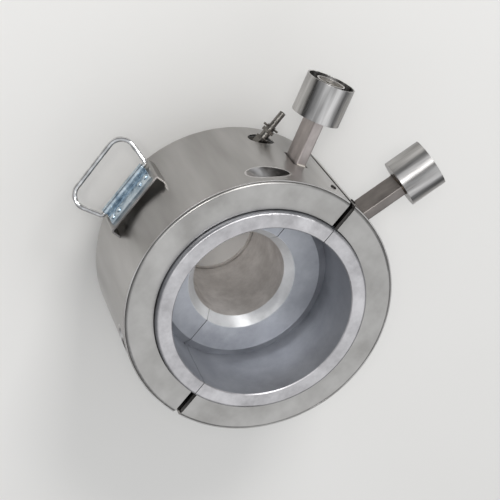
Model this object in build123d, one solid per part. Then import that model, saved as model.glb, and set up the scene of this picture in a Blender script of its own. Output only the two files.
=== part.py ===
from build123d import *
import math
import os

# Cast-in heater: a bored aluminium casting, split into two halves, with a
# tubular heating element cast into each half. Two clamp bolts draw the halves
# together. A thermally insulated stainless shroud, also split, covers them.
#
# Frame: millimetres, +Z along the bore towards the wide mouth. The origin is on
# the bore axis at the rear face, on which the heater stands. The halves part on
# the plane y = 0: the upper half (+Y) carries the lifting handle, and the
# terminals leave on the +X side.

# Heights, stacked from the casting's shoulder up to the face of its ring
shoulder_z = 71.0
rear_cover = 12.0
adapter_rise = 24.0
terminal_rise = 48.0
terminal_stagger = 25.0
lug_rise = 25.0
lug_cover = 25.0
ring_stand_out = 8.0
shroud_rear_z = shoulder_z - rear_cover
adapter_z = shoulder_z + adapter_rise
upper_terminal_z = adapter_z + terminal_rise
lower_terminal_z = upper_terminal_z + terminal_stagger
lug_z = lower_terminal_z + lug_rise
plate_face_z = lug_z + lug_cover
ring_face_z = plate_face_z + ring_stand_out

# Casting
bore_radius = 100.0
ring_wall = 17.5
ring_radius = bore_radius + ring_wall
ring_lip_radius = 3.0
mouth_chamfer = 1.0
bore_depth = 84.0
bore_floor_z = ring_face_z - bore_depth
relief_width = 9.0
relief_depth = 6.0
relief_undercut = 0.6
outlet_radius = 53.0
chamfer_width = 9.0
chamfer_depth = 12.0
neck_wall = 19.0
neck_radius = outlet_radius + neck_wall
groove_z = 5.0
groove_width = 4.5
groove_depth = 3.0
rear_edge_chamfer = 1.5
split_gap = 0.8

# Shroud
insulation_depth = 32.5
shroud_radius = ring_radius + insulation_depth
wrap_thickness = 1.2
wrap_setback = 2.0
plate_thickness = 1.5
plate_bend_radius = 3.0
plate_flange = 7.0
plate_fit = 0.1
ring_clearance = 1.0
upper_edge_y = 0.6
lower_edge_y = -7.5
closing_fit = 0.3
closing_return = 24.0
screw_y = 15.0
screw_drop = 1.0
screw_z = lug_z - screw_drop
screw_radius = 1.75
screw_head_radius = 3.2
screw_head_height = 1.6
screw_length = 7.0
insulation_fit = 0.3
wrap_inner_radius = shroud_radius - wrap_thickness
wrap_front_z = plate_face_z - wrap_setback
wrap_rear_z = shroud_rear_z + wrap_setback
flange_radius = wrap_inner_radius - plate_fit
flange_inner_radius = flange_radius - plate_thickness
front_plate_back_z = plate_face_z - plate_thickness
rear_plate_inner_z = shroud_rear_z + plate_thickness
collar_inner_radius = ring_radius + ring_clearance

# Clamp lugs and bolts
bolt_offset = 2.5
lug_x = ring_radius + bolt_offset
lug_half_width = 12.0
lug_end_wall = 18.0
lug_reach = lug_x + lug_end_wall
lug_depth = 26.0
bolt_radius = 6.0
bolt_hole_radius = 6.6
bolt_head_radius = 9.0
bolt_head_height = 12.0
bolt_head_chamfer = 0.8
bolt_engagement = 20.0
socket_across_flats = 10.0
socket_depth = 6.0
washer_radius = 11.5
washer_thickness = 2.5
sleeve_radius = 15.0
sleeve_wall = 1.0
pocket_clearance = 0.5
thread_clearance = 0.05

# Heating elements
element_radius = 3.5
element_pitch_radius = bore_radius + ring_wall / 2
element_leg_offset = 9.5
element_lead_bend = 12.0
element_end_angle = 150.0
element_fit = 0.05

# Terminal tubes and cups, one set on each half
terminal_angle = 17.3
tube_wall = 1.5
tube_end_room = 2.0
tube_side_room = 1.0
tube_height = 2 * (element_leg_offset + element_radius + tube_wall + tube_end_room)
tube_width = 2 * (element_radius + tube_wall + tube_side_room)
tube_corner_radius = 2.0
tube_window_side = 3.0
tube_window_end = 0.8
cup_standoff = 52.0
cup_start = shroud_radius + cup_standoff
cup_length = 42.5
cup_end = cup_start + cup_length
cup_radius = 27.3
cup_wall = 1.5
cup_floor = 2.0
cup_floor_end = cup_start + cup_floor
ferrule_radius = 16.0
ferrule_wall = 1.5
ferrule_recess = 1.0
insulator_recess = 12.0
insulator_end = cup_end - insulator_recess
insulator_fit = 0.2
lead_hole_depth = 8.0
lead_end = cup_floor_end + insulator_fit + lead_hole_depth
stud_radius = 2.0
stud_offset = 6.5
stud_seat = 8.0
stud_reach = 9.0

# Thermocouple adapter on the upper half
adapter_y = 69.0
adapter_seat_x = math.sqrt(ring_radius ** 2 - adapter_y ** 2)
adapter_thread_length = 15.0
adapter_base_flats = 14.0
adapter_base_setback = 14.0
adapter_base_end = shroud_radius - adapter_base_setback
adapter_radius = 5.0
adapter_stand_out = 2.0
adapter_collar_x = shroud_radius + adapter_stand_out
adapter_tip_radius = 3.7
adapter_tip_length = 19.0
adapter_tip_x = adapter_collar_x + adapter_tip_length
adapter_tip_chamfer = 0.6
adapter_bore_radius = 2.5
adapter_bore_depth = 43.0
adapter_bore_floor = adapter_tip_x - adapter_bore_depth
adapter_drill_point = 1.5
lock_nut_flats = 14.0
lock_nut_thickness = 4.0
bayonet_pin_radius = 1.2
bayonet_pin_length = 20.0
bayonet_pin_recess = 0.2
probe_hole_radius = 13.5

# Lifting handle on the upper half
bracket_half_length = 39.6
bracket_rise = 7.5
bracket_top_y = shroud_radius + bracket_rise
bracket_drop = 57.5
bracket_front_z = lug_z - bracket_drop
bracket_depth = 51.0
bracket_sheet = 2.0
bracket_bend_radius = 3.5
handle_plate_setback = 6.0
handle_plate_depth = 28.5
handle_plate_front_z = bracket_front_z - handle_plate_setback
handle_plate_thickness = 1.95
wire_radius = 2.5
hinge_fit = 0.05
hinge_y = bracket_top_y + wire_radius + hinge_fit + handle_plate_thickness
hinge_z = handle_plate_front_z - handle_plate_depth
hinge_half_length = 33.0
bail_pin_inner_x = 20.0
bail_knee_x = 38.0
bail_corner_x = 53.0
bail_height = 41.0
bail_knee_radius = 5.5
bail_corner_radius = 16.0
bail_lean = 30.0
rivet_outer_x = 28.0
rivet_inner_x = 18.0
rivet_places = (-rivet_outer_x, -rivet_inner_x, rivet_inner_x, rivet_outer_x)
rivet_edge = 10.5
rivet_z = handle_plate_front_z - rivet_edge
rivet_radius = 1.9
rivet_head_radius = 3.3
rivet_head_height = 1.5
rivet_head_rounding = 1.2
rivet_tail_radius = 2.6
rivet_tail_height = 0.6
seat_fit = 0.05

# Longer than any piece, for cuts that run right through
reach = 2 * shroud_radius


def turned(corners):
    """Solid of revolution about the bore axis from (radius, height) corners."""
    outline = Polyline(*corners, close=True)
    return revolve(make_face(Plane.XZ * outline), Axis.Z, 360)


def side_of(shape, edge_y, sign):
    """The part of a shape beyond edge_y, on the side of the given sign."""
    keep = Pos(0, edge_y + sign * reach, 0) * Box(4 * reach, 2 * reach, 4 * reach)
    return shape & keep


def bar_along(axis_plane, radius, start, end):
    """Round bar on a plane's normal, from start to end along it."""
    middle = (start + end) / 2
    return axis_plane * (Pos(0, 0, middle) * Cylinder(radius, end - start))


def hex_along(axis_plane, flats, start, end):
    """Hexagon bar on a plane's normal, from start to end along it."""
    outline = RegularPolygon(flats / 2, 6, major_radius=False)
    return extrude(axis_plane * (Pos(0, 0, start) * outline), end - start)


def radial_plane(angle, height):
    """Plane at the bore axis with its normal outwards and its y along +Z."""
    a = math.radians(angle)
    outwards = (math.cos(a), math.sin(a), 0)
    across = (-math.sin(a), math.cos(a), 0)
    return Plane(origin=(0, 0, height), x_dir=across, z_dir=outwards)


def casting_bar():
    """Solid cylinder as wide as the casting, from which seated pieces are cut back."""
    return Pos(0, 0, ring_face_z / 2) * Cylinder(ring_radius + seat_fit, ring_face_z)


def circles(shape, radius, height):
    """Circular edges of the given radius about the bore axis, at one height."""
    return shape.edges().filter_by(
        lambda e: e.geom_type == GeomType.CIRCLE
        and abs(e.radius - radius) < 0.01
        and abs(e.center().Z - height) < 0.01)


def write(node, *solids):
    """Write a sub-part's solids to one STEP file named for it."""
    shape = solids[0] if len(solids) == 1 else Compound(children=list(solids))
    export_step(shape, f"parts/{node}.step")


upper = 1
lower = -1
adapter_axis = Plane(origin=(0, adapter_y, adapter_z), x_dir=(0, 1, 0), z_dir=(1, 0, 0))


def bolt_axis(side_x):
    """Plane on a clamp bolt's axis, with its normal along +Y."""
    return Plane(origin=(side_x * lug_x, 0, lug_z), x_dir=(1, 0, 0), z_dir=(0, 1, 0))


def terminal_axis(side):
    """Radial plane of a half's terminal tube."""
    height = upper_terminal_z if side == upper else lower_terminal_z
    return radial_plane(side * terminal_angle, height)


# Heating elements: one hairpin in each half, bent from a sheathed round tube.
# The two legs lie in planes across the bore and join in a bend at the far end.

def element_wire(side):
    """Centre line of a hairpin, from one lead in the cup round to the other."""
    height = upper_terminal_z if side == upper else lower_terminal_z
    start = math.radians(terminal_angle)
    bend_centre = element_pitch_radius + element_lead_bend
    swing = math.asin(element_lead_bend / bend_centre)
    end = math.radians(element_end_angle)

    def at(radius, angle, z):
        return Vector(radius * math.cos(angle), side * radius * math.sin(angle), z)

    def leg(z):
        outer_end = at(lead_end, start, z)
        bend_start = at(bend_centre * math.cos(swing), start, z)
        middle_angle = start + swing
        centre = at(bend_centre, middle_angle, z)
        bend_end = at(element_pitch_radius, middle_angle, z)
        chord = (bend_start - centre) + (bend_end - centre)
        bend_middle = centre + chord.normalized() * element_lead_bend
        arc_middle = at(element_pitch_radius, (middle_angle + end) / 2, z)
        arc_end = at(element_pitch_radius, end, z)
        return [
            Line(outer_end, bend_start),
            ThreePointArc(bend_start, bend_middle, bend_end),
            ThreePointArc(bend_end, arc_middle, arc_end),
        ]

    low = height - element_leg_offset
    high = height + element_leg_offset
    tangent = Vector(-math.sin(end), side * math.cos(end), 0)
    tip = at(element_pitch_radius, end, height) + tangent * element_leg_offset
    turn = ThreePointArc(
        at(element_pitch_radius, end, low), tip, at(element_pitch_radius, end, high)
    )
    return Wire(leg(low) + [turn] + leg(high))


def element(side, radius):
    """Round bar along a hairpin's centre line."""
    path = element_wire(side)
    start = Plane(origin=path @ 0, z_dir=path % 0)
    return sweep(start * Circle(radius), path=path)


# Castings: one turned form with a clamp lug on each side of the bore, sawn in
# two. The upper half has a pocket over each lug for the bolt's head.

def casting_blank():
    relief_outer = bore_radius + relief_undercut
    relief_inner = bore_radius - relief_width
    groove_top = groove_z + groove_width
    groove_radius = outlet_radius + groove_depth
    blank = turned([
        (outlet_radius, 0),
        (neck_radius, 0),
        (neck_radius, shoulder_z),
        (ring_radius, shoulder_z),
        (ring_radius, ring_face_z),
        (bore_radius, ring_face_z),
        (bore_radius, bore_floor_z),
        (relief_outer, bore_floor_z),
        (relief_outer, bore_floor_z - relief_depth),
        (relief_inner, bore_floor_z),
        (outlet_radius + chamfer_width, bore_floor_z),
        (outlet_radius, bore_floor_z - chamfer_depth),
        (outlet_radius, groove_top),
        (groove_radius, groove_top),
        (groove_radius, groove_z),
        (outlet_radius, groove_z),
    ])
    blank = fillet(circles(blank, ring_radius, ring_face_z), ring_lip_radius)
    blank = chamfer(circles(blank, bore_radius, ring_face_z), mouth_chamfer)
    return chamfer(circles(blank, neck_radius, 0), rear_edge_chamfer)


def lug(side_x):
    inner = (bore_radius + ring_radius) / 2
    length = lug_reach - inner
    block = Box(length, 2 * lug_depth, 2 * lug_half_width)
    corners = block.edges().filter_by(Axis.Y).sort_by(Axis.X)[-2:]
    block = fillet(corners, lug_half_width / 3)
    placed = Pos(inner + length / 2, 0, lug_z) * block
    return placed if side_x > 0 else mirror(placed, Plane.YZ)


def casting(side):
    body = casting_blank() + lug(1) + lug(-1)
    body = side_of(body, side * split_gap / 2, side)
    for side_x in (1, -1):
        axis = bolt_axis(side_x)
        if side == upper:
            body -= bar_along(axis, bolt_hole_radius, 0, reach)
            pocket = sleeve_radius + pocket_clearance
            body -= bar_along(axis, pocket, lug_depth, reach)
        else:
            tapped = bolt_radius + thread_clearance
            body -= bar_along(axis, tapped, -lug_depth - 1, 0)
    body -= element(side, element_radius + element_fit)
    if side == upper:
        body -= bar_along(adapter_axis, adapter_radius + thread_clearance,
                          adapter_seat_x - adapter_thread_length, reach)
    return body


# Clamp bolts, washers and the polished sleeves through which a key reaches them

def clamp_bolt(side_x):
    axis = bolt_axis(side_x)
    seat = lug_depth + washer_thickness
    head = bar_along(axis, bolt_head_radius, seat, seat + bolt_head_height)
    top = head.edges().filter_by(GeomType.CIRCLE).sort_by(Axis.Y)[-1]
    head = chamfer(top, bolt_head_chamfer)
    shank = bar_along(axis, bolt_radius, -bolt_engagement, seat)
    key = hex_along(axis, socket_across_flats,
                    seat + bolt_head_height - socket_depth, seat + bolt_head_height)
    return head + shank - key


def clamp_washer(side_x):
    axis = bolt_axis(side_x)
    ring = bar_along(axis, washer_radius, lug_depth, lug_depth + washer_thickness)
    return ring - bar_along(axis, bolt_hole_radius, 0, reach)


def bolt_sleeve(side_x):
    axis = bolt_axis(side_x)
    tube = bar_along(axis, sleeve_radius, lug_depth, reach)
    tube -= bar_along(axis, sleeve_radius - sleeve_wall, 0, reach)
    outside = Pos(0, 0, plate_face_z / 2) * Cylinder(shroud_radius, 2 * plate_face_z)
    return tube & outside


# Shroud: rolled wraps, pan-shaped front and rear plates with a bent flange, and
# closing plates along the split, which turn under the wrap and take the screws.

def edge_y(side):
    return upper_edge_y if side == upper else lower_edge_y


def shroud_openings(side, clearance):
    """Everything that passes through a half's wrap and insulation."""
    axis = terminal_axis(side)
    window = Rectangle(tube_width + 2 * tube_window_side + clearance,
                       tube_height + 2 * tube_window_end + clearance)
    cuts = extrude(axis * (Pos(0, 0, ring_radius / 2) * window), reach)
    if side == upper:
        cuts += bar_along(adapter_axis, probe_hole_radius + clearance / 2,
                          outlet_radius, reach)
        for side_x in (1, -1):
            cuts += bar_along(bolt_axis(side_x), sleeve_radius + plate_fit + clearance / 2,
                              0, reach)
    return cuts


def screw_axes(side):
    """Radial planes of the screws that hold a wrap to its closing plates."""
    from_split = math.degrees(math.asin(screw_y / shroud_radius))
    return [radial_plane(side * from_split, screw_z),
            radial_plane(180 - side * from_split, screw_z)]


def screw_holes(side):
    holes = [bar_along(axis, screw_radius + plate_fit, ring_radius, reach)
             for axis in screw_axes(side)]
    return holes[0] + holes[1]


def wrap(side):
    shell = turned([
        (wrap_inner_radius, wrap_rear_z),
        (shroud_radius, wrap_rear_z),
        (shroud_radius, wrap_front_z),
        (wrap_inner_radius, wrap_front_z),
    ])
    shell = side_of(shell, edge_y(side), side)
    return shell - shroud_openings(side, 0) - screw_holes(side)


def end_plate(side, inner_radius, face_z, inwards):
    """Pan with its flat face at face_z and its flange bent inwards along Z."""
    inner_bend = plate_bend_radius - plate_thickness
    back_z = face_z + inwards * plate_thickness
    rim_z = face_z + inwards * (plate_thickness + plate_flange)
    pan = turned([
        (inner_radius, face_z),
        (flange_radius, face_z),
        (flange_radius, rim_z),
        (flange_inner_radius, rim_z),
        (flange_inner_radius, back_z),
        (inner_radius, back_z),
    ])
    pan = fillet(circles(pan, flange_radius, face_z), plate_bend_radius)
    pan = fillet(circles(pan, flange_inner_radius, back_z), inner_bend)
    return side_of(pan, edge_y(side), side)


def closing_plate(side, side_x):
    """Sheet along the split, with a return under the wrap."""
    y = edge_y(side)
    low = rear_plate_inner_z + plate_flange + closing_fit
    high = front_plate_back_z - plate_flange - closing_fit
    inner = ring_radius + closing_fit
    outer = wrap_inner_radius - plate_fit
    wall_y = y + side * plate_thickness / 2
    length = outer - inner
    wall = Pos(inner + length / 2, wall_y, (low + high) / 2) * Box(
        length, plate_thickness, high - low)
    hoop = turned([
        (outer - plate_thickness, low),
        (outer, low),
        (outer, high),
        (outer - plate_thickness, high),
    ])
    hoop = side_of(hoop, y, side)
    hoop = hoop & (Pos(reach / 2, y + side * closing_return / 2, (low + high) / 2) * Box(
        reach, closing_return, high - low))
    outside = Pos(0, 0, (low + high) / 2) * Cylinder(outer, high - low)
    plate = (wall & outside) + hoop
    notch_height = 2 * (lug_half_width + closing_fit)
    notch_end = lug_reach + closing_fit
    plate -= Pos(notch_end - reach / 2, wall_y, lug_z) * Box(
        reach, 4 * plate_thickness, notch_height)
    if side_x < 0:
        plate = mirror(plate, Plane.YZ)
    return plate - screw_holes(side)


def shroud_screw(axis):
    under = shroud_radius + seat_fit
    head = bar_along(axis, screw_head_radius, under, under + screw_head_height)
    top = head.edges().filter_by(GeomType.CIRCLE).sort_by(
        lambda e: e.center().length)[-1]
    head = fillet(top, screw_head_height / 2)
    shank = bar_along(axis, screw_radius, under - screw_length, under)
    return head + shank


def insulation(side):
    """Fibre blanket that fills the space between the casting and the shroud."""
    inner = ring_radius + insulation_fit
    outer = flange_inner_radius - insulation_fit
    low = rear_plate_inner_z + insulation_fit
    high = front_plate_back_z - insulation_fit
    neck = neck_radius + insulation_fit
    shoulder = shoulder_z - insulation_fit
    corner = plate_bend_radius
    blanket = turned([
        (neck, low), (outer - corner, low), (outer, low + corner),
        (outer, high - corner), (outer - corner, high), (inner, high),
        (inner, shoulder), (neck, shoulder),
    ])
    plane_y = edge_y(side) + side * (plate_thickness + insulation_fit)
    blanket = side_of(blanket, plane_y, side)
    blanket -= shroud_openings(side, 2 * insulation_fit)
    blanket -= Pos(0, 0, lug_z) * Box(
        2 * (lug_reach + insulation_fit),
        2 * (lug_depth + insulation_fit),
        2 * (lug_half_width + insulation_fit))
    return blanket - screw_holes(side)


# Terminal tubes, cups, ferrules, insulators and studs

def terminal_tube(side):
    axis = terminal_axis(side)
    outline = RectangleRounded(tube_width, tube_height, tube_corner_radius)
    core = Rectangle(tube_width - 2 * tube_wall, tube_height - 2 * tube_wall)
    inside = bore_radius
    tube = extrude(axis * (Pos(0, 0, inside) * (outline - core)), cup_floor_end - inside)
    return tube - casting_bar()


def terminal_cup(side):
    axis = terminal_axis(side)
    cup = bar_along(axis, cup_radius, cup_start, cup_end)
    cup -= bar_along(axis, cup_radius - cup_wall, cup_floor_end, cup_end + 1)
    fit = 2 * seat_fit
    hole = RectangleRounded(tube_width + fit, tube_height + fit, tube_corner_radius)
    return cup - extrude(axis * (Pos(0, 0, cup_start - 1) * hole), cup_floor + 2)


def terminal_ferrule(side):
    axis = terminal_axis(side)
    end = cup_end - ferrule_recess
    tube = bar_along(axis, ferrule_radius, cup_floor_end, end)
    return tube - bar_along(axis, ferrule_radius - ferrule_wall, cup_start, cup_end)


def offset_bar(side, offset, radius, start, end):
    """Bar beside a terminal's axis, offset along the bore."""
    axis = terminal_axis(side)
    moved = Plane(origin=axis.origin + Vector(0, 0, offset),
                  x_dir=axis.x_dir, z_dir=axis.z_dir)
    return bar_along(moved, radius, start, end)


def terminal_insulator(side):
    axis = terminal_axis(side)
    radius = ferrule_radius - ferrule_wall - insulator_fit
    core = bar_along(axis, radius, cup_floor_end + insulator_fit, insulator_end)
    for sign in (1, -1):
        core -= offset_bar(side, sign * element_leg_offset, element_radius + element_fit,
                           cup_start, lead_end + element_fit)
        core -= offset_bar(side, sign * stud_offset, stud_radius,
                           insulator_end - stud_seat, cup_end)
    return core


def terminal_stud(side, sign):
    return offset_bar(side, sign * stud_offset, stud_radius,
                      insulator_end - stud_seat, insulator_end + stud_reach)


# Thermocouple adapter: a threaded stem with a hexagon root, a lock nut and a
# crosswise bayonet pin, screwed into the upper casting through a shroud hole.

def thermocouple_adapter():
    root = hex_along(adapter_axis, adapter_base_flats, outlet_radius, adapter_base_end)
    stem = root - casting_bar()
    stem += bar_along(adapter_axis, adapter_radius,
                      adapter_seat_x - adapter_thread_length, adapter_collar_x)
    tip = bar_along(adapter_axis, adapter_tip_radius, adapter_collar_x, adapter_tip_x)
    rim = tip.edges().filter_by(GeomType.CIRCLE).sort_by(Axis.X)[-1]
    stem += chamfer(rim, adapter_tip_chamfer)
    stem -= bar_along(adapter_axis, adapter_bore_radius, adapter_bore_floor, reach)
    point_middle = adapter_bore_floor - adapter_drill_point / 2
    stem -= adapter_axis * (Pos(0, 0, point_middle) * Cone(
        0, adapter_bore_radius, adapter_drill_point))
    return stem - bayonet_pin_bar(bayonet_pin_radius)


def bayonet_pin_bar(radius):
    x = adapter_collar_x - adapter_radius / 2
    length = bayonet_pin_length
    return Pos(x, adapter_y, adapter_z) * (Rot(90, 0, 0) * Cylinder(radius, length))


def bayonet_pin():
    room = 2 * (adapter_bore_radius + bayonet_pin_recess)
    middle = Pos(adapter_collar_x, adapter_y, adapter_z) * Box(reach, room, reach)
    return bayonet_pin_bar(bayonet_pin_radius) - middle


def lock_nut():
    end = adapter_collar_x - adapter_radius
    nut = hex_along(adapter_axis, lock_nut_flats, end - lock_nut_thickness, end)
    return nut - bar_along(adapter_axis, adapter_radius + seat_fit, 0, reach)


# Lifting handle: a bent bracket welded across the wrap, a zinc-plated base plate
# whose rear edge is rolled into a hinge barrel, four rivets and a wire bail.

def handle_bracket():
    half = bracket_half_length
    outer = Polyline(
        (-half, 0), (-half, bracket_top_y), (half, bracket_top_y), (half, 0), close=True)
    outer = fillet(make_face(outer).vertices().group_by(Axis.Y)[-1], bracket_bend_radius)
    inner_half = half - bracket_sheet
    inner_top = bracket_top_y - bracket_sheet
    inner = Polyline(
        (-inner_half, 0), (-inner_half, inner_top), (inner_half, inner_top),
        (inner_half, 0), close=True)
    inner = fillet(make_face(inner).vertices().group_by(Axis.Y)[-1],
                   bracket_bend_radius - bracket_sheet)
    rear = bracket_front_z - bracket_depth
    sheet = extrude(Pos(0, 0, rear) * (outer - inner), bracket_depth)
    drum = Pos(0, 0, plate_face_z / 2) * Cylinder(shroud_radius + seat_fit, 2 * plate_face_z)
    return side_of(sheet, 0, upper) - drum - rivet_bars(rivet_radius + seat_fit)


def rivet_bars(radius):
    bars = [Pos(x, bracket_top_y, rivet_z) * (
        Rot(90, 0, 0) * Cylinder(radius, 4 * bracket_sheet)) for x in rivet_places]
    return bars[0] + bars[1:]


def hinge_bar(radius, half_length):
    return Pos(0, hinge_y, hinge_z) * (Rot(0, 90, 0) * Cylinder(radius, 2 * half_length))


def handle_base_plate():
    middle_z = hinge_z + handle_plate_depth / 2
    top = Pos(0, bracket_top_y + handle_plate_thickness / 2, middle_z) * Box(
        2 * hinge_half_length, handle_plate_thickness, handle_plate_depth)
    curl = hinge_bar(wire_radius + hinge_fit + handle_plate_thickness, hinge_half_length)
    plate = top + curl
    plate -= hinge_bar(wire_radius + hinge_fit, reach)
    return plate - rivet_bars(rivet_radius + seat_fit)


def handle_rivet(x):
    under = bracket_top_y - bracket_sheet - seat_fit
    over = bracket_top_y + handle_plate_thickness + seat_fit
    shank_height = over - under
    shank = Pos(x, (under + over) / 2, rivet_z) * (
        Rot(90, 0, 0) * Cylinder(rivet_radius, shank_height))
    head = Pos(x, over + rivet_head_height / 2, rivet_z) * (
        Rot(90, 0, 0) * Cylinder(rivet_head_radius, rivet_head_height))
    rim = head.edges().filter_by(GeomType.CIRCLE).sort_by(Axis.Y)[-1]
    head = fillet(rim, rivet_head_rounding)
    tail = Pos(x, under - rivet_tail_height / 2, rivet_z) * (
        Rot(90, 0, 0) * Cylinder(rivet_tail_radius, rivet_tail_height))
    return head + shank + tail


def handle_bail():
    """Round wire with both ends turned inwards as hinge pins."""
    path = FilletPolyline(
        (bail_pin_inner_x, 0), (bail_knee_x, 0), (bail_corner_x, bail_height),
        (-bail_corner_x, bail_height), (-bail_knee_x, 0), (-bail_pin_inner_x, 0),
        radius=[bail_knee_radius, bail_corner_radius, bail_corner_radius,
                bail_knee_radius])
    lean = math.radians(bail_lean)
    outwards = (0, math.cos(lean), -math.sin(lean))
    normal = Vector(1, 0, 0).cross(Vector(*outwards))
    plane = Plane(origin=(0, hinge_y, hinge_z), x_dir=(1, 0, 0), z_dir=normal)
    wire = plane * path
    start = Plane(origin=wire @ 0, z_dir=wire % 0)
    return sweep(start * Circle(wire_radius), path=wire)


os.makedirs("parts", exist_ok=True)
halves = {"upper": upper, "lower": lower}
for name, side in halves.items():
    write(f"{name}_casting", casting(side))
    write(f"{name}_heating_element", element(side, element_radius))
    write(f"{name}_insulation", insulation(side))
    write(f"{name}_wrap", wrap(side))
    write(f"{name}_front_plate", end_plate(side, collar_inner_radius, plate_face_z, -1))
    write(f"{name}_rear_plate",
          end_plate(side, neck_radius + ring_clearance, shroud_rear_z, 1))
    write(f"{name}_closing_plates", closing_plate(side, 1), closing_plate(side, -1))
    write(f"{name}_terminal_tube", terminal_tube(side))
    write(f"{name}_terminal_cup", terminal_cup(side))
    write(f"{name}_terminal_ferrule", terminal_ferrule(side))
    write(f"{name}_terminal_insulator", terminal_insulator(side))
    write(f"{name}_terminal_studs", terminal_stud(side, 1), terminal_stud(side, -1))
write("clamp_bolts", clamp_bolt(1), clamp_bolt(-1))
write("clamp_washers", clamp_washer(1), clamp_washer(-1))
write("bolt_sleeves", bolt_sleeve(1), bolt_sleeve(-1))
write("shroud_screws", *[shroud_screw(axis) for side in (upper, lower)
                         for axis in screw_axes(side)])
write("thermocouple_adapter", thermocouple_adapter())
write("bayonet_pin", *bayonet_pin().solids())
write("adapter_lock_nut", lock_nut())
write("handle_bracket", handle_bracket())
write("handle_base_plate", handle_base_plate())
write("handle_rivets", *[handle_rivet(x) for x in rivet_places])
write("handle_bail", handle_bail())
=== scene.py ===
import math

import bmesh
import bpy
from mathutils import Matrix, Vector


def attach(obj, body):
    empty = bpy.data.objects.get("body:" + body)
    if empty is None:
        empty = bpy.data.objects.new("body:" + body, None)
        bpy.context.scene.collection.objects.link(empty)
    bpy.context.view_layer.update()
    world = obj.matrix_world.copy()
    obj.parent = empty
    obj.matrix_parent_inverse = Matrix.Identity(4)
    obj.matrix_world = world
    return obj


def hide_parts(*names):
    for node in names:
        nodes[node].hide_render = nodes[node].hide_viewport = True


# Split cast-in heater with terminal cups and a bail handle. The bore runs along +Z, the
# heater stands on its rear face, and the terminals leave on the +X side. Camera, floor and
# light are in metres, and the sizes of the pieces and their finishes in millimetres.
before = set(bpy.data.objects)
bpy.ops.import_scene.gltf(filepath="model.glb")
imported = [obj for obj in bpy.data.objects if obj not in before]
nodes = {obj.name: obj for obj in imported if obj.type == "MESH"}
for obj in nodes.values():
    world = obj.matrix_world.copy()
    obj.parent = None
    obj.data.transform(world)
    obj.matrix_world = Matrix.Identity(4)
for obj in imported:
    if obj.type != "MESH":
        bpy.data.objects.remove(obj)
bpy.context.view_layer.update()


# Camera: a long lens above the mouth, rolled so that the split falls to the lower left.
def linked(name, data):
    """New object at the origin of the scene."""
    obj = bpy.data.objects.new(name, data)
    bpy.context.scene.collection.objects.link(obj)
    return obj


camera = linked("camera", bpy.data.cameras.new("camera"))
camera.data.sensor_width = 36
camera.data.lens = 103.31
camera.data.clip_end = 20
eye = Vector((0.30237, 0.78116, 1.51098))
towards_eye = Vector((0.16987, 0.48093, 0.86014))
image_right = Vector((0.63391, -0.72161, 0.27829))
image_up = towards_eye.cross(image_right)
axes = Matrix((image_right, image_up, towards_eye)).transposed()
camera.matrix_world = Matrix.Translation(eye) @ axes.to_4x4()
bpy.context.scene.camera = camera
bpy.context.scene.view_settings.view_transform = "Standard"


# Floor: one pale matt sheet, large enough to fill every view. The noise gives the eye a
# very faint unevenness, like a painted board.
def colour(code):
    """Linear colour of an sRGB hex code."""
    levels = [int(code[i:i + 2], 16) / 255 for i in (1, 3, 5)]
    return [c / 12.92 if c <= 0.04045 else ((c + 0.055) / 1.055) ** 2.4 for c in levels] + [1]


def add(material, kind, settings=None, links=None):
    """Add a node to a material; settings are its properties or inputs, links feed inputs."""
    node = material.node_tree.nodes.new(kind)
    for name, value in (settings or {}).items():
        if isinstance(name, str) and hasattr(node, name):
            setattr(node, name, value)
        else:
            node.inputs[name].default_value = value
    for name, socket in (links or {}).items():
        material.node_tree.links.new(socket, node.inputs[name])
    return node


def surface(name, settings):
    """New material whose principled shader has these settings; returns it and the shader."""
    material = bpy.data.materials.new(name)
    material.use_nodes = True
    shader = material.node_tree.nodes["Principled BSDF"]
    for key, value in settings.items():
        shader.inputs[key].default_value = value
    return material, shader


def feed(material, shader, **sockets):
    """Link sockets to the shader's inputs, whose spaces are written as underscores."""
    for name, socket in sockets.items():
        material.node_tree.links.new(socket, shader.inputs[name.replace("_", " ")])


floor_half_width = 8
cloud_size = 333
sheet = bmesh.new()
bmesh.ops.create_grid(sheet, x_segments=1, y_segments=1, size=floor_half_width)
floor = linked("floor", bpy.data.meshes.new("floor"))
sheet.to_mesh(floor.data)
sheet.free()
floor_paint, shader = surface("matt_pale_floor", {"Roughness": 0.9})
place = add(floor_paint, "ShaderNodeTexCoord").outputs["Object"]
clouds = add(floor_paint, "ShaderNodeTexNoise", {"Scale": 1000 / cloud_size}, {"Vector": place}).outputs[0]
tone = add(floor_paint, "ShaderNodeMix", {"data_type": "RGBA", 6: colour("#D8D6D2"), 7: colour("#DCDAD7")},
           {0: clouds}).outputs[2]
feed(floor_paint, shader, Base_Color=tone)
floor.data.materials.append(floor_paint)


# Light: a broad soft box overhead, a key from the terminal side, a small soft box in front
# that reaches down the bore, and a dim even surround that grows brighter upwards.
def lamp(name, place, target, size, power):
    """Square soft box that faces a target, with its side in metres and its power in watts."""
    light = bpy.data.lights.new(name, "AREA")
    light.size = size
    light.energy = power
    aim = (Vector(target) - Vector(place)).to_track_quat("-Z", "Y")
    linked(name, light).matrix_world = Matrix.Translation(place) @ aim.to_matrix().to_4x4()


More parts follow.
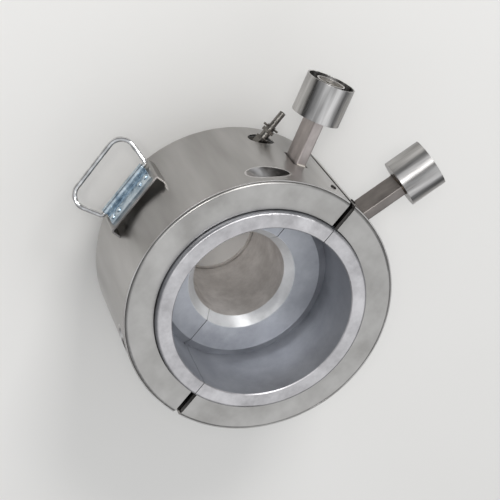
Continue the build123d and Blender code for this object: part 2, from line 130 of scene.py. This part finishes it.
lamp("overhead", (-0.35, -1.1, 2.1), (0, 0, 0.15), 1.9, 6)
lamp("key", (2.2, 1.2, 2.0), (0, 0, 0.15), 0.9, 42)
lamp("front", (0.5, 1.35, 2.5), (0, 0, 0), 0.5, 20)
world = bpy.data.worlds.new("surround")
bpy.context.scene.world = world
world.use_nodes = True
background = world.node_tree.nodes["Background"]
background.inputs["Color"].default_value = colour("#EEF1F5")
direction = add(world, "ShaderNodeTexCoord").outputs["Generated"]
rise = add(world, "ShaderNodeSeparateXYZ", links={0: direction}).outputs[2]
glow = add(world, "ShaderNodeMapRange", {"From Min": 0.1, "From Max": 0.8, "To Min": 0.1, "To Max": 0.88},
           {"Value": rise}).outputs[0]
world.node_tree.links.new(glow, background.inputs["Strength"])


# Castings: sand-cast aluminium, turned in the bore and on the ring, and sawn in two. They
# are bare metal. The turned faces give the eye fine rings with fan-shaped highlights, and the
# bore is duller and bluer. The chamfer and the outlet are painted much paler, the outlet with a
# brownish tint, as painted light falling down the bore, and the lugs in the split are painted
# near black as painted shade of the deep split.
def dress(material, *names):
    """Give CAD nodes a material in place of their own."""
    for name in names:
        if not nodes[name].material_slots:
            nodes[name].data.materials.append(material)
        for slot in nodes[name].material_slots:
            slot.material = material


# Heights and radii where the finish changes and where painted light and painted shade begin,
# then the sizes of the wear and the cuts.
outlet_top = 130
outlet_side = 62
bore_side = 100.5
ring_side = 118.2
ring_face = 224.9
wear_size = 33.3
cut_width = 0.45
cut_depth = 0.06
casting, shader = surface("turned_cast_aluminium", {"Anisotropic": 0.5})
place = add(casting, "ShaderNodeTexCoord").outputs["Object"]
flat = add(casting, "ShaderNodeMapping", {"Scale": (1000, 1000, 0)}, {"Vector": place}).outputs[0]
radius = add(casting, "ShaderNodeVectorMath", {"operation": "LENGTH"}, {0: flat}).outputs[1]
upright = add(casting, "ShaderNodeSeparateXYZ", links={0: place}).outputs[2]
height = add(casting, "ShaderNodeMath", {"operation": "MULTIPLY", 1: 1000}, {0: upright}).outputs[0]
wear = add(casting, "ShaderNodeTexNoise", {"Scale": 1000 / wear_size, "Detail": 8.0, "Roughness": 0.66},
           {"Vector": place}).outputs[0]
clean = add(casting, "ShaderNodeMapRange", {"From Min": 0.36, "From Max": 0.66}, {"Value": wear}).outputs[0]


def past(socket, edge, below=0.0, above=1.0):
    """Value that changes over one millimetre where a length passes an edge."""
    settings = {"From Min": edge - 0.5, "From Max": edge + 0.5, "To Min": below, "To Max": above}
    return add(casting, "ShaderNodeMapRange", settings, {"Value": socket}).outputs[0]


def tones(deep, pale):
    """Worn and clean tone of one zone of the casting."""
    return add(casting, "ShaderNodeMix", {"data_type": "RGBA", 6: colour(deep), 7: colour(pale)},
               {0: clean}).outputs[2]


def zoned(socket, edge, below, above):
    """One tone that gives way to another where a length passes an edge."""
    return add(casting, "ShaderNodeMix", {"data_type": "RGBA"},
               {0: past(socket, edge), 6: below, 7: above}).outputs[2]


wide = zoned(height, ring_face, tones("#989AA0", "#AFB1B6"), tones("#9B999A", "#C6C4C5"))
# Chamfer and outlet: painted paler than the bore, as painted light falling down the bore.
narrow_painted_light = zoned(height, outlet_top, tones("#CFCAC6", "#F6F2EF"), tones("#DCDCDC", "#F2F2F2"))
turned = zoned(radius, outlet_side, narrow_painted_light, wide)
# Past the ring's side, the lugs in the split: painted near black, as painted shade of the deep split.
tone = zoned(radius, ring_side, turned, tones("#151413", "#262321"))
rings = add(casting, "ShaderNodeCombineXYZ", links={0: radius, 1: height}).outputs[0]
cuts = add(casting, "ShaderNodeTexNoise", {"Scale": 1 / cut_width, "Detail": 3.0},
           {"Vector": rings}).outputs[0]
relief = add(casting, "ShaderNodeBump", {"Strength": 0.5, "Distance": cut_depth / 1000},
             {"Height": cuts}).outputs[0]
rough = add(casting, "ShaderNodeMapRange", {"To Min": 0.32, "To Max": 0.46}, {"Value": clean}).outputs[0]
tangent = add(casting, "ShaderNodeTangent", {"direction_type": "RADIAL", "axis": "Z"}).outputs[0]
feed(casting, shader, Base_Color=tone, Metallic=past(radius, bore_side, 0.6, 0.88), Roughness=rough,
     Normal=relief, Tangent=tangent)
dress(casting, "upper_casting", "lower_casting")


# Shroud: stainless sheet, rolled for the wraps and pressed for the end plates, spot-welded
# along its flanges. Soft patches and lines along the rolling direction give the eye a
# handled mill finish. On the wraps the patches are drawn out along the axis and are partly
# painted reflection bands. A slow waviness bends the reflections as thin sheet does, and the
# closing plates deep in the split are painted near black as painted shade.
def metal(name, deep, pale, rough, patch, grain, depth, wave=0.0, turn=0.0):
    """Bare metal with patches and grain lines of these sizes along X, Y and Z.

    The grain has a depth, and a thin sheet is wavy by a height. All are in millimetres,
    and the pattern is turned about Z by degrees.
    """
    edge_radius = 0.5
    wave_size = (38.5, 38.5, 333)
    material, shader = surface(name, {"Metallic": 1.0})
    angles = (0, 0, math.radians(turn))
    place = add(material, "ShaderNodeTexCoord").outputs["Object"]
    place = add(material, "ShaderNodeMapping", {"vector_type": "TEXTURE", "Rotation": angles},
                {"Vector": place}).outputs[0]
    spots = add(material, "ShaderNodeMapping", {"Scale": [1000 / size for size in patch]},
                {"Vector": place}).outputs[0]
    patches = add(material, "ShaderNodeTexNoise", {"Scale": 1.0, "Detail": 4.0},
                  {"Vector": spots}).outputs[0]
    clear = add(material, "ShaderNodeMapRange", {"From Min": 0.3, "From Max": 0.7},
                {"Value": patches}).outputs[0]
    tone = add(material, "ShaderNodeMix", {"data_type": "RGBA", 6: colour(deep), 7: colour(pale)},
               {0: clear}).outputs[2]
    spread = add(material, "ShaderNodeMapRange", {"To Min": rough[0], "To Max": rough[1]},
                 {"Value": clear}).outputs[0]
    along = add(material, "ShaderNodeMapping", {"Scale": [1000 / size for size in grain]},
                {"Vector": place}).outputs[0]
    lines = add(material, "ShaderNodeTexNoise", {"Scale": 1.0, "Detail": 3.0}, {"Vector": along}).outputs[0]
    relief = add(material, "ShaderNodeBevel", {"samples": 4, "Radius": edge_radius / 1000}).outputs[0]
    relief = add(material, "ShaderNodeBump", {"Strength": 0.6, "Distance": depth / 1000},
                 {"Height": lines, "Normal": relief}).outputs[0]
    if wave:
        slow = add(material, "ShaderNodeMapping", {"Scale": [1000 / size for size in wave_size]},
                   {"Vector": place}).outputs[0]
        swell = add(material, "ShaderNodeTexNoise", {"Scale": 1.0, "Detail": 1.0},
                    {"Vector": slow}).outputs[0]
        relief = add(material, "ShaderNodeBump", {"Strength": 1.0, "Distance": wave / 1000},
                     {"Height": swell, "Normal": relief}).outputs[0]
    feed(material, shader, Base_Color=tone, Roughness=spread, Normal=relief)
    return material


# Wraps: the long patches along the axis are partly mill mottling and partly painted reflection bands.
dress(metal("rolled_stainless_painted_reflections", "#827F7C", "#BEBCBA", rough=(0.26, 0.36), patch=(62, 62, 400),
            grain=(33, 33, 0.67), depth=0.02, wave=3.0),
      "upper_wrap", "lower_wrap", "handle_bracket")
dress(metal("mill_stainless", "#8E8C89", "#B2B0AD", rough=(0.3, 0.46), patch=(38, 38, 38),
            grain=(1.4, 17, 1.4), depth=0.02, wave=0.6),
      "upper_front_plate", "lower_front_plate", "upper_rear_plate", "lower_rear_plate")
# Closing plates deep in the split: painted near black, as painted shade.
dress(metal("painted_shade_stainless", "#171615", "#2B2826", rough=(0.45, 0.65), patch=(12, 12, 12),
            grain=(2.5, 2.5, 17), depth=0.03),
      "upper_closing_plates", "lower_closing_plates")


# Insulation: a needled blanket of ceramic fibre, packed between casting and shroud. It
# shows only as a felted matt edge deep in the split, painted dark brown as painted shade.
tuft_size = 3.8
tuft_depth = 0.6
blanket, shader = surface("ceramic_fibre", {"Roughness": 0.95, "Sheen Weight": 0.3})
place = add(blanket, "ShaderNodeTexCoord").outputs["Object"]
felt = add(blanket, "ShaderNodeTexNoise", {"Scale": 1000 / tuft_size, "Detail": 6.0},
           {"Vector": place}).outputs[0]
# The dark brown tone is painted shade of the deep split.
tone = add(blanket, "ShaderNodeMix", {"data_type": "RGBA", 6: colour("#2B2825"), 7: colour("#4A453F")},
           {0: felt}).outputs[2]
relief = add(blanket, "ShaderNodeBump", {"Strength": 0.8, "Distance": tuft_depth / 1000},
             {"Height": felt}).outputs[0]
feed(blanket, shader, Base_Color=tone, Normal=relief)
dress(blanket, "upper_insulation", "lower_insulation")


# Heating elements: nickel-alloy sheathed wire, bent to hairpins and cast in. Annealing has
# left the sheath dark and slightly green, with a dull drawn surface.
dress(metal("annealed_sheath", "#55524C", "#6B675F", rough=(0.42, 0.6), patch=(9, 9, 9),
            grain=(1.1, 1.1, 5), depth=0.02),
      "upper_heating_element", "lower_heating_element")


# Terminal tubes: rectangular mild steel tube, welded to the wrap and to the cups. It has
# the brownish skin of the mill, with lines along its length and faint heat tints.
terminal_angles = {"upper": 17.3, "lower": -17.3}
dress(metal("mill_steel_tube", "#958D8A", "#BDB5B2", rough=(0.4, 0.54), patch=(26, 12, 12),
            grain=(17, 2, 2), depth=0.03, turn=terminal_angles["upper"]),
      "upper_terminal_tube")
# The lower tube is the same steel, painted darker as painted shade.
dress(metal("painted_shade_steel_tube", "#6A6562", "#8B8581", rough=(0.38, 0.52), patch=(26, 12, 12),
            grain=(17, 2, 2), depth=0.03, turn=terminal_angles["lower"]),
      "lower_terminal_tube")


# Terminal cups: cut from polished stainless tube. Long streaks of light and dark along
# the tube are painted reflections, and very fine lines show the polish.
for side, turn in terminal_angles.items():
    dress(metal(side + "_polished_stainless_painted_reflections", "#716F6D", "#C6C4C2", rough=(0.26, 0.36), patch=(90, 8, 8),
                grain=(25, 1.4, 1.4), depth=0.002, turn=turn),
          side + "_terminal_cup")


# Ferrules and bolt sleeves: thin stainless tube with a satin bore, so that the light from
# the mouth spreads softly down inside.
dress(metal("satin_stainless", "#C2BFBD", "#E2E0DE", rough=(0.3, 0.42), patch=(12, 12, 12),
            grain=(1.1, 3.3, 1.1), depth=0.01),
      "bolt_sleeves", "upper_terminal_ferrule", "lower_terminal_ferrule")


# Weld beads: a fillet run round each tube where it meets its cup, and a short tack in front
# of the upper tube's foot. The runs are ridged and dark, the tack is bright.
def bar(name, route, facets, closed, finish):
    """Round bar on a route of (point, radius) pairs in millimetres, closed or with flat ends."""
    line = bpy.data.curves.new(name, "CURVE")
    line.dimensions = "3D"
    line.bevel_depth = 0.001
    line.bevel_resolution = facets
    line.use_fill_caps = True
    run = line.splines.new("POLY")
    run.points.add(len(route) - 1)
    for point, (place, radius) in zip(run.points, route):
        point.co = (*(place / 1000), 1)
        point.radius = radius
    run.use_cyclic_u = closed
    line.materials.append(finish)
    return linked(name, line)


tube_width = 12
tube_height = 33
tube_corner = 2
tube_levels = {"upper": 143, "lower": 168}
cup_seat = 201.5
foot_radius = 150.2
bead_radius = 1.1
tack_radius = 1.3
tack_reach = 5
tack_stand_out = 0.3
dark_run = metal("dark_weld", "#3B3532", "#77695C", rough=(0.35, 0.55), patch=(5, 5, 5),
              grain=(2, 2, 2), depth=0.2)
bright = metal("bright_weld", "#CFC6BA", "#EDE7DE", rough=(0.3, 0.5), patch=(5, 5, 5),
               grain=(2, 2, 2), depth=0.2)
corner = [(tube_width / 2, tube_height / 2 - tube_corner), (tube_width / 2 - tube_corner, tube_height / 2)]
section = corner + [(-a, b) for a, b in reversed(corner)]
section += [(-a, -b) for a, b in section]
for side, turn in terminal_angles.items():
    outwards = Vector((math.cos(math.radians(turn)), math.sin(math.radians(turn)), 0))
    across = Vector((-outwards.y, outwards.x, 0))
    level = Vector((0, 0, tube_levels[side]))
    seat = outwards * cup_seat + level
    seam = [(seat + across * a + Vector((0, 0, b)), bead_radius) for a, b in section]
    runs = [bar(side + "_cup_weld", seam, 3, True, dark_run)]
    if side == "upper":
        foot = outwards * foot_radius + level + Vector((0, 0, tube_height / 2 + tack_stand_out))
        ends = [(foot + across * reach, tack_radius) for reach in (-tack_reach, tack_reach)]
        runs.append(bar("foot_tack", ends, 3, False, bright))
    for run in runs:
        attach(run, "heater")


# Terminal insulators and studs: glazed steatite with an off-white body and small pores,
# and nickel-plated steel pins that take the plug.
pore_size = 2.4
pore_depth = 0.05
steatite, shader = surface("glazed_steatite", {"Coat Weight": 0.4, "Coat Roughness": 0.15})
place = add(steatite, "ShaderNodeTexCoord").outputs["Object"]
pores = add(steatite, "ShaderNodeTexNoise", {"Scale": 1000 / pore_size, "Detail": 4.0},
            {"Vector": place}).outputs[0]
tone = add(steatite, "ShaderNodeMix", {"data_type": "RGBA", 6: colour("#CFC9BA"), 7: colour("#E0DBCF")},
           {0: pores}).outputs[2]
rough = add(steatite, "ShaderNodeMapRange", {"To Min": 0.3, "To Max": 0.5}, {"Value": pores}).outputs[0]
relief = add(steatite, "ShaderNodeBump", {"Strength": 0.4, "Distance": pore_depth / 1000},
             {"Height": pores}).outputs[0]
feed(steatite, shader, Base_Color=tone, Roughness=rough, Normal=relief)
dress(steatite, "upper_terminal_insulator", "lower_terminal_insulator")
dress(metal("nickel_plate", "#A39F97", "#BBB7AF", rough=(0.16, 0.3), patch=(6, 6, 6),
            grain=(2, 2, 2), depth=0.01),
      "upper_terminal_studs", "lower_terminal_studs")


# Thermocouple adapter: a steel stem with a rolled thread, its lock nut and bayonet pin. The
# plating has gone dark, and the fine lines across the stem read as the thread.
dress(metal("dark_plated_steel", "#5E5B57", "#8B8781", rough=(0.2, 0.34), patch=(7, 7, 7),
            grain=(0.67, 33, 33), depth=0.25),
      "thermocouple_adapter")
dress(metal("plated_fittings", "#6B6863", "#98948D", rough=(0.2, 0.32), patch=(6, 6, 6),
            grain=(2, 2, 2), depth=0.01),
      "adapter_lock_nut", "bayonet_pin")


# Clamp bolts, washers and shroud screws: black-oxided steel. The thin oxide is uneven and
# slightly oily, so it shows brown-black patches with a soft shine.
dress(metal("black_oxide_steel", "#1D1C1C", "#35322F", rough=(0.3, 0.5), patch=(5, 5, 5),
            grain=(1.7, 1.7, 1.7), depth=0.02),
      "clamp_bolts", "clamp_washers", "shroud_screws")


# Handle plate: zinc-plated steel, its rear edge rolled into a hinge barrel, riveted to the
# welded bracket. The zinc is bluish, with cloudy spangles and a hard shine.
dress(metal("zinc_plate", "#8FA3B2", "#D6E0E6", rough=(0.1, 0.26), patch=(6, 6, 6),
            grain=(17, 1.4, 1.4), depth=0.04),
      "handle_base_plate", "handle_rivets")


# Handle bail: chromed steel wire, bent cold, its two ends turned down to pins that run in
# the barrel. Bends that differ a little on the two sides show the hand bending.
def bent(corners):
    """Points of a wire bent at its inner corners, each an x, y and bend radius in millimetres."""
    points = []
    for before, (x, y, radius), after in zip(corners, corners[1:], corners[2:]):
        here = Vector((x, y))
        back = (Vector(before[:2]) - here).normalized()
        ahead = (Vector(after[:2]) - here).normalized()
        half = back.angle(ahead) / 2
        centre = here + (back + ahead).normalized() * radius / math.sin(half)
        start = here + back * radius / math.tan(half) - centre
        sweep = math.copysign(math.pi - 2 * half, ahead.cross(back))
        points += [centre + Matrix.Rotation(sweep * step / 12, 2) @ start for step in range(13)]
    return points


hinge = Vector((0, 162, 101))
lean = math.radians(30)
wire_radius = 2.95
pin_radius = 2.45
pin_end = 20
shoulder = 33.2
step = 0.1
wire = bent([(33, 0), (38, 0, 4.5), (48.5, 42.8, 16), (-52, 41, 15), (-38, 0, 4.5), (-33, 0)])
pin = [((pin_end, 0), pin_radius), ((shoulder - step, 0), pin_radius), ((shoulder + step, 0), wire_radius)]
flat_route = pin + [(point, wire_radius) for point in wire]
flat_route += [((-x, y), radius) for (x, y), radius in reversed(pin)]
route = [(hinge + Vector((x, out * math.cos(lean), -out * math.sin(lean))), radius)
         for (x, out), radius in flat_route]
chrome = metal("chromed_wire", "#B4B3B2", "#EFEEED", rough=(0.05, 0.12), patch=(9, 9, 9),
               grain=(3.3, 3.3, 3.3), depth=0.006)
bail = bar("bail_wire", route, 8, False, chrome)
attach(bail, "bail")
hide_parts("handle_bail")


bpy.context.view_layer.update()
